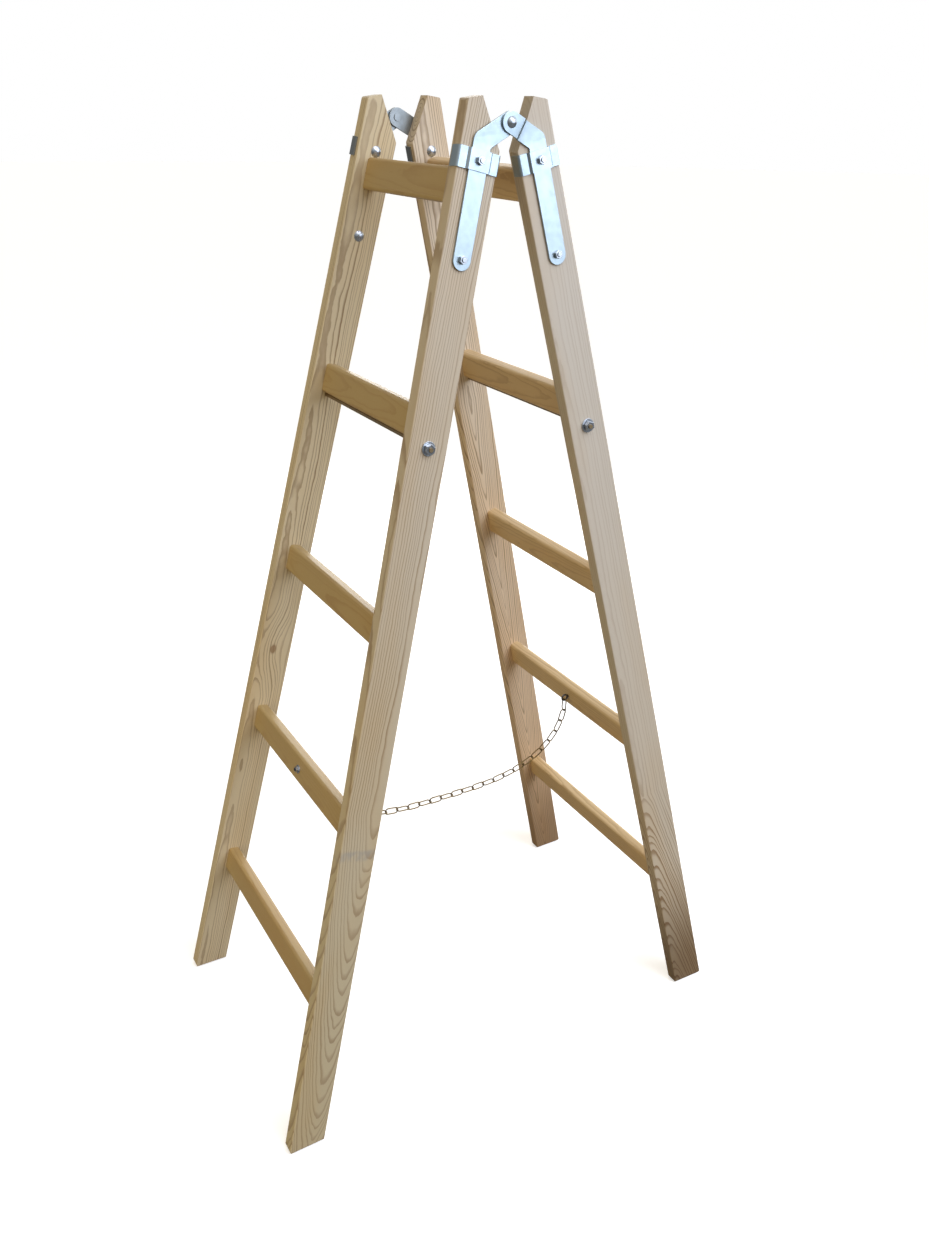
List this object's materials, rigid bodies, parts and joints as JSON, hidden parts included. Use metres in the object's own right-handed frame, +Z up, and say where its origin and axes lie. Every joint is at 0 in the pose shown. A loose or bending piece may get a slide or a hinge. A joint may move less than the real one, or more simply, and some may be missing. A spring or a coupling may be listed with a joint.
{
  "type": "trestle ladder",
  "caption": "Wooden trestle ladder: two pine rung sections that fold on plated flat-bar hinges at the top, with a slack spreader chain between them.",
  "frame": {"origin": "on the floor, below the middle of the hinge axis: bottom centre of the open ladder's box", "axes": "+Z up, +X along the rungs and the hinge axis, +Y across the spread of the legs, from the front section to the rear one"},
  "size_m": [0.5042, 0.8362, 1.5112],
  "materials": {
    "stile_pine": "planed pine, unvarnished, matt",
    "rung_pine": "planed pine, unvarnished, matt",
    "hinge_zinc": "bright zinc plate, satin",
    "fastener_zinc": "zinc plate, satin",
    "eye_steel": "dull grey steel",
    "chain_brass": "brass-coloured, satin"
  },
  "bodies": {
    "front_section": {"front_left_stile": "stile_pine", "front_right_stile": "stile_pine", "front_rung_1": "rung_pine", "front_rung_2": "rung_pine", "front_rung_3": "rung_pine", "front_rung_4": "rung_pine", "front_rung_5": "rung_pine", "front_tie_rod": "fastener_zinc", "front_tie_washers": "fastener_zinc", "front_tie_nuts": "fastener_zinc", "front_left_arm": "hinge_zinc", "front_right_arm": "hinge_zinc", "front_left_clamp": "hinge_zinc", "front_right_clamp": "hinge_zinc", "front_clamp_bolts": "fastener_zinc", "front_clamp_nuts": "fastener_zinc", "front_arm_bolts": "fastener_zinc", "front_arm_nuts": "fastener_zinc", "front_chain_eye": "eye_steel", "front_eye_nut": "fastener_zinc", "left_hinge_pin": "fastener_zinc", "right_hinge_pin": "fastener_zinc"},
    "rear_section": {"rear_left_stile": "stile_pine", "rear_right_stile": "stile_pine", "rear_rung_1": "rung_pine", "rear_rung_2": "rung_pine", "rear_rung_3": "rung_pine", "rear_rung_4": "rung_pine", "rear_rung_5": "rung_pine", "rear_tie_rod": "fastener_zinc", "rear_tie_washers": "fastener_zinc", "rear_tie_nuts": "fastener_zinc", "rear_left_arm": "hinge_zinc", "rear_right_arm": "hinge_zinc", "rear_left_clamp": "hinge_zinc", "rear_right_clamp": "hinge_zinc", "rear_clamp_bolts": "fastener_zinc", "rear_clamp_nuts": "fastener_zinc", "rear_arm_bolts": "fastener_zinc", "rear_arm_nuts": "fastener_zinc", "rear_chain_eye": "eye_steel", "rear_eye_nut": "fastener_zinc"},
    "chain_front_upper": {"chain_front_upper": "chain_brass"},
    "chain_front_middle": {"chain_front_middle": "chain_brass"},
    "chain_front_lower": {"chain_front_lower": "chain_brass"},
    "chain_centre_link": {"chain_centre_link": "chain_brass"},
    "chain_rear_lower": {"chain_rear_lower": "chain_brass"},
    "chain_rear_middle": {"chain_rear_middle": "chain_brass"},
    "chain_rear_upper": {"chain_rear_upper": "chain_brass"}
  },
  "joints": [
    {"name": "fold", "type": "hinge", "parent": "front_section", "child": "rear_section", "pos_m": [0, 0, 1.48185], "axis": [-1, 0, 0], "range_deg": [0, 27], "deforming": ["chain_front_middle", "chain_front_lower", "chain_centre_link", "chain_rear_lower", "chain_rear_middle"]},
    {"name": "chain_front_upper_swing", "type": "hinge", "parent": "front_section", "child": "chain_front_upper", "pos_m": [0, -0.2455, 0.52388], "axis": [-1, 0, 0], "range_deg": [0, 21.5]},
    {"name": "chain_front_middle_swing", "type": "hinge", "parent": "chain_front_upper", "child": "chain_front_middle", "pos_m": [0, -0.23938, 0.48235], "axis": [-1, 0, 0], "range_deg": [0, 42]},
    {"name": "chain_front_lower_swing", "type": "hinge", "parent": "chain_front_middle", "child": "chain_front_lower", "pos_m": [0, -0.14091, 0.40456], "axis": [-1, 0, 0], "range_deg": [0, 35.29]},
    {"name": "chain_rear_upper_swing", "type": "hinge", "parent": "rear_section", "child": "chain_rear_upper", "pos_m": [0, 0.2455, 0.52388], "axis": [1, 0, 0], "range_deg": [0, 21.5]},
    {"name": "chain_rear_middle_swing", "type": "hinge", "parent": "chain_rear_upper", "child": "chain_rear_middle", "pos_m": [0, 0.23938, 0.48235], "axis": [1, 0, 0], "range_deg": [0, 42]},
    {"name": "chain_rear_lower_swing", "type": "hinge", "parent": "chain_rear_middle", "child": "chain_rear_lower", "pos_m": [0, 0.14091, 0.40456], "axis": [1, 0, 0], "range_deg": [0, 35.29]},
    {"name": "chain_centre_link_swing", "type": "hinge", "parent": "chain_front_lower", "child": "chain_centre_link", "pos_m": [0, -0.0119, 0.39312], "axis": [-1, 0, 0], "range_deg": [-85.29, 0]}
  ],
  "couplings": [
    {"joint": "chain_front_upper_swing", "follows": "fold", "ratio": 0.7963},
    {"joint": "chain_front_middle_swing", "follows": "fold", "ratio": 1.5556},
    {"joint": "chain_front_lower_swing", "follows": "fold", "ratio": 1.307},
    {"joint": "chain_rear_upper_swing", "follows": "fold", "ratio": 0.7963},
    {"joint": "chain_rear_middle_swing", "follows": "fold", "ratio": 1.5556},
    {"joint": "chain_rear_lower_swing", "follows": "fold", "ratio": 1.307},
    {"joint": "chain_centre_link_swing", "follows": "fold", "ratio": -3.1589}
  ]
}
